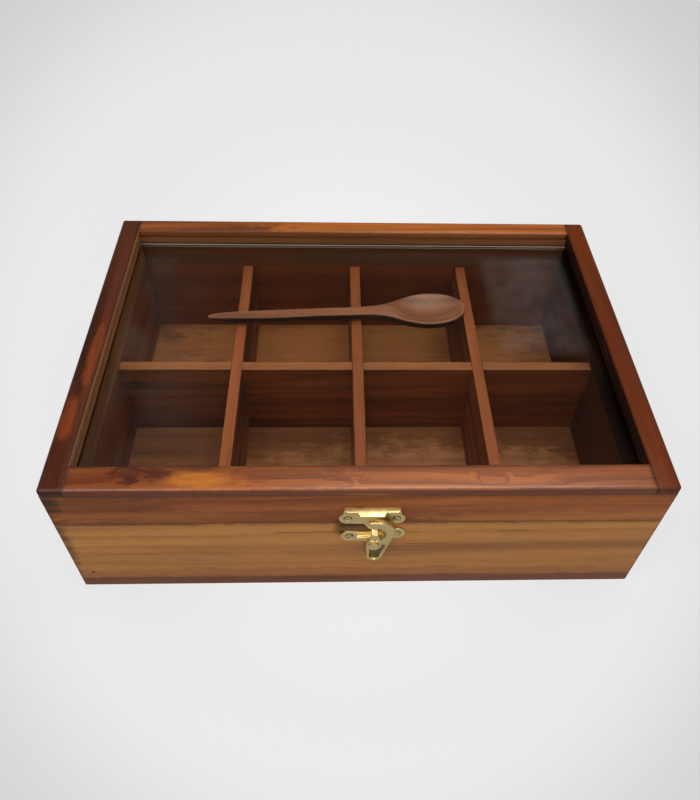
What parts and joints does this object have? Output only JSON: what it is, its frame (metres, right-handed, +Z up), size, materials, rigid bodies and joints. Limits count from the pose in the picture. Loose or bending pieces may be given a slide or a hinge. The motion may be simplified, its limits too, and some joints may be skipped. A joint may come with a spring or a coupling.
{
  "type": "spice box",
  "caption": "Low wooden spice box with a glazed hinged lid, a brass swing latch, crossed dividers that form square compartments, and a loose wooden spoon.",
  "frame": {"origin": "centre of the underside of the base board, which is the face that the box stands on", "axes": "+X to the right seen from the front, along the box's width; +Y towards the hinges at the back; +Z up through the lid"},
  "size_m": [0.254, 0.1868, 0.076],
  "materials": {
    "body_wood": "varnished, satin",
    "base_wood": "varnished, satin",
    "divider_wood": "varnished, satin",
    "lid_wood": "varnished, gloss",
    "glass": "clear, polished",
    "brad_steel": "bright wire",
    "brass": "polished plating",
    "spoon_wood": "oiled, satin"
  },
  "bodies": {
    "box": {"base_board": "base_wood", "front_wall": "body_wood", "back_wall": "body_wood", "left_wall": "body_wood", "right_wall": "body_wood", "long_divider": "divider_wood", "cross_divider_left": "divider_wood", "cross_divider_middle": "divider_wood", "cross_divider_right": "divider_wood", "wall_brads": "brad_steel", "base_brads": "brad_steel", "hinge_left_body_leaf": "brass", "hinge_right_body_leaf": "brass", "hinge_left_pin": "brass", "hinge_right_pin": "brass", "hinge_body_screws": "brass", "latch_body_plate": "brass", "latch_body_screws": "brass", "latch_pivot_rivet": "brass"},
    "lid": {"lid_front_wall": "body_wood", "lid_back_wall": "body_wood", "lid_left_wall": "body_wood", "lid_right_wall": "body_wood", "lid_front_rail": "lid_wood", "lid_back_rail": "lid_wood", "lid_left_rail": "lid_wood", "lid_right_rail": "lid_wood", "lid_glass": "glass", "lid_brads": "brad_steel", "hinge_left_lid_leaf": "brass", "hinge_right_lid_leaf": "brass", "hinge_lid_screws": "brass", "latch_lid_plate": "brass", "latch_lid_screws": "brass"},
    "latch_lever": {"latch_lever": "brass"},
    "spoon": {"spoon": "spoon_wood"}
  },
  "joints": [
    {"name": "lid_hinge", "type": "hinge", "parent": "box", "child": "lid", "pos_m": [0, 0.0908, 0.0521], "axis": [-1, 0, 0], "range_deg": [0, 180]},
    {"name": "latch_swing", "type": "hinge", "parent": "box", "child": "latch_lever", "pos_m": [0.00496, -0.09245, 0.04052], "axis": [0, 1, 0], "range_deg": [0, 90]},
    {"name": "spoon_lift", "type": "slide", "parent": "box", "child": "spoon", "axis": [0, 0, 1], "range_m": [0, 0.007]}
  ]
}
